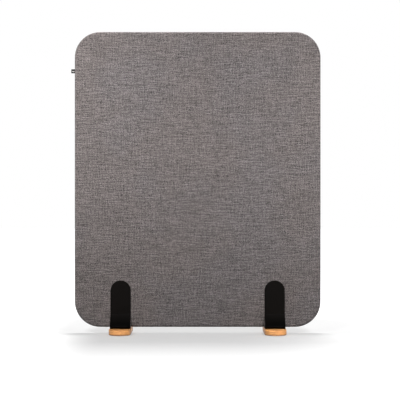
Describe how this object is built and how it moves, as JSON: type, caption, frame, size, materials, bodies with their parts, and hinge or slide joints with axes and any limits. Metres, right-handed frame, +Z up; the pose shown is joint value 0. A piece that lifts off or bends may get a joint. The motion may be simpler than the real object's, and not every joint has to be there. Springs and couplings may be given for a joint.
{
  "type": "acoustic divider screen",
  "caption": "Free-standing upholstered acoustic screen: a tall padded panel with rounded corners on folded black steel brackets and round-ended wooden feet.",
  "frame": {"origin": "on the floor, under the middle of the panel", "axes": "+X along the screen's width, +Y through the panel from its front face to its back face, +Z up"},
  "size_m": [1.016, 0.265, 1.227],
  "materials": {
    "cover_fabric": "matte",
    "polyester_wadding": "matte",
    "frame_timber": "matte",
    "dowel_beech": "matte",
    "block_plywood": "matte",
    "septum_hardboard": "satin",
    "absorber_felt": "matte",
    "staple_wire": "satin",
    "tag_ribbon": "matte",
    "black_powder_coat": "satin",
    "foot_oak": "satin",
    "pad_felt": "matte",
    "zinc_steel": "satin",
    "insert_brass": "satin"
  },
  "bodies": {
    "root": {"absorber_lower_back": "absorber_felt", "absorber_lower_front": "absorber_felt", "absorber_upper_back": "absorber_felt", "absorber_upper_front": "absorber_felt", "bolt_washers": "zinc_steel", "bracket_left": "black_powder_coat", "bracket_right": "black_powder_coat", "bracket_screws": "zinc_steel", "corner_block_bottom_left": "block_plywood", "corner_block_bottom_right": "block_plywood", "corner_block_top_left": "block_plywood", "corner_block_top_right": "block_plywood", "cover_back": "cover_fabric", "cover_front": "cover_fabric", "cover_staples": "staple_wire", "edge_tag": "tag_ribbon", "felt_pads": "pad_felt", "foot_bolts": "zinc_steel", "frame_bottom_rail": "frame_timber", "frame_cross_rail": "frame_timber", "frame_dowels": "dowel_beech", "frame_left_stile": "frame_timber", "frame_right_stile": "frame_timber", "frame_top_rail": "frame_timber", "rail_inserts": "insert_brass", "septum_lower": "septum_hardboard", "septum_upper": "septum_hardboard", "wadding_back": "polyester_wadding", "wadding_front": "polyester_wadding", "wooden_foot_left": "foot_oak", "wooden_foot_right": "foot_oak"}
  },
  "joints": []
}
